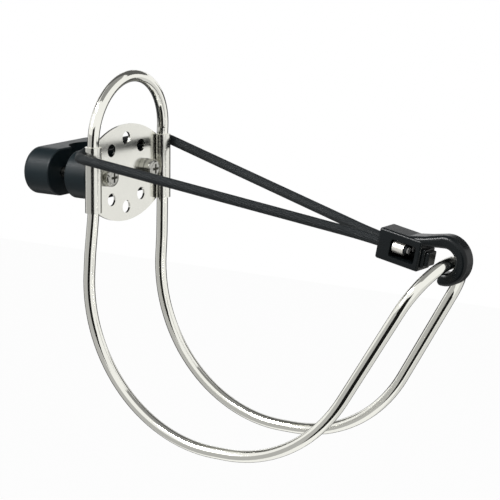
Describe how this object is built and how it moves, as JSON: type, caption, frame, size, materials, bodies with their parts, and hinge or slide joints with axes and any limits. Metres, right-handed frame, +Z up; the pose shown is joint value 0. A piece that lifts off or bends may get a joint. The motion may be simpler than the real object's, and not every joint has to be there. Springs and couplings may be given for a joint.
{
  "type": "boat rope hanger",
  "caption": "Stainless wire cradle on a holed plate, clamped to a boat rail by a split plastic clamp, with an elastic cord and hook clip that close over the hung rope.",
  "frame": {"origin": "on the rail's axis, level with the centre of the plate's hole circle", "axes": "+Z up along the rail, +X to the right seen from the cradle's front looking at the rail reversed: the two legs stand at -X and +X, and the cradle reaches out towards -Y"},
  "size_m": [0.0792, 0.2457, 0.1866],
  "materials": {
    "polished_wire": "mirror-polished stainless steel",
    "polished_plate": "polished stainless sheet",
    "clamp_plastic": "satin moulded black",
    "clip_plastic": "semi-gloss moulded black",
    "ferrule": "satin",
    "cord_braid": "fine black braid",
    "cord_core": "cut pale rubber",
    "fasteners": "polished stainless steel"
  },
  "bodies": {
    "hanger": {"wire_frame": "polished_wire", "mounting_plate": "polished_plate", "front_clamp_half": "clamp_plastic", "left_flat_washer": "fasteners", "right_flat_washer": "fasteners", "left_spring_washer": "fasteners", "right_spring_washer": "fasteners"},
    "rear_clamp": {"rear_clamp_half": "clamp_plastic", "left_captive_nut": "fasteners", "right_captive_nut": "fasteners"},
    "left_screw": {"left_clamp_screw": "fasteners"},
    "right_screw": {"right_clamp_screw": "fasteners"},
    "cord_loop": {"elastic_cord": "cord_braid"},
    "clip": {"hook_clip": "clip_plastic", "crimp_ferrule": "ferrule", "rubber_core_ends": "cord_core"}
  },
  "joints": [
    {"name": "cord_swing", "type": "hinge", "parent": "hanger", "child": "cord_loop", "pos_m": [0, -0.01625, 0.015], "axis": [-1, 0, 0], "range_deg": [0, 95]},
    {"name": "clip_pull", "type": "slide", "parent": "cord_loop", "child": "clip", "axis": [0, -0.9806, -0.1959], "range_m": [0, 0.006], "stiffness_N_per_m": 300, "deforming": ["elastic_cord"]},
    {"name": "left_screw_turn", "type": "hinge", "parent": "hanger", "child": "left_screw", "pos_m": [-0.018, 0, 0], "axis": [0, -1, 0], "range_deg": [0, 1801]},
    {"name": "right_screw_turn", "type": "hinge", "parent": "hanger", "child": "right_screw", "pos_m": [0.018, 0, 0], "axis": [0, -1, 0], "range_deg": [0, 1801]},
    {"name": "clamp_open", "type": "slide", "parent": "hanger", "child": "rear_clamp", "axis": [0, 1, 0], "range_m": [0, 0.004]}
  ],
  "couplings": [
    {"joint": "left_screw_turn", "follows": "clamp_open", "rad_per_m": 7854},
    {"joint": "right_screw_turn", "follows": "clamp_open", "rad_per_m": 7854}
  ]
}
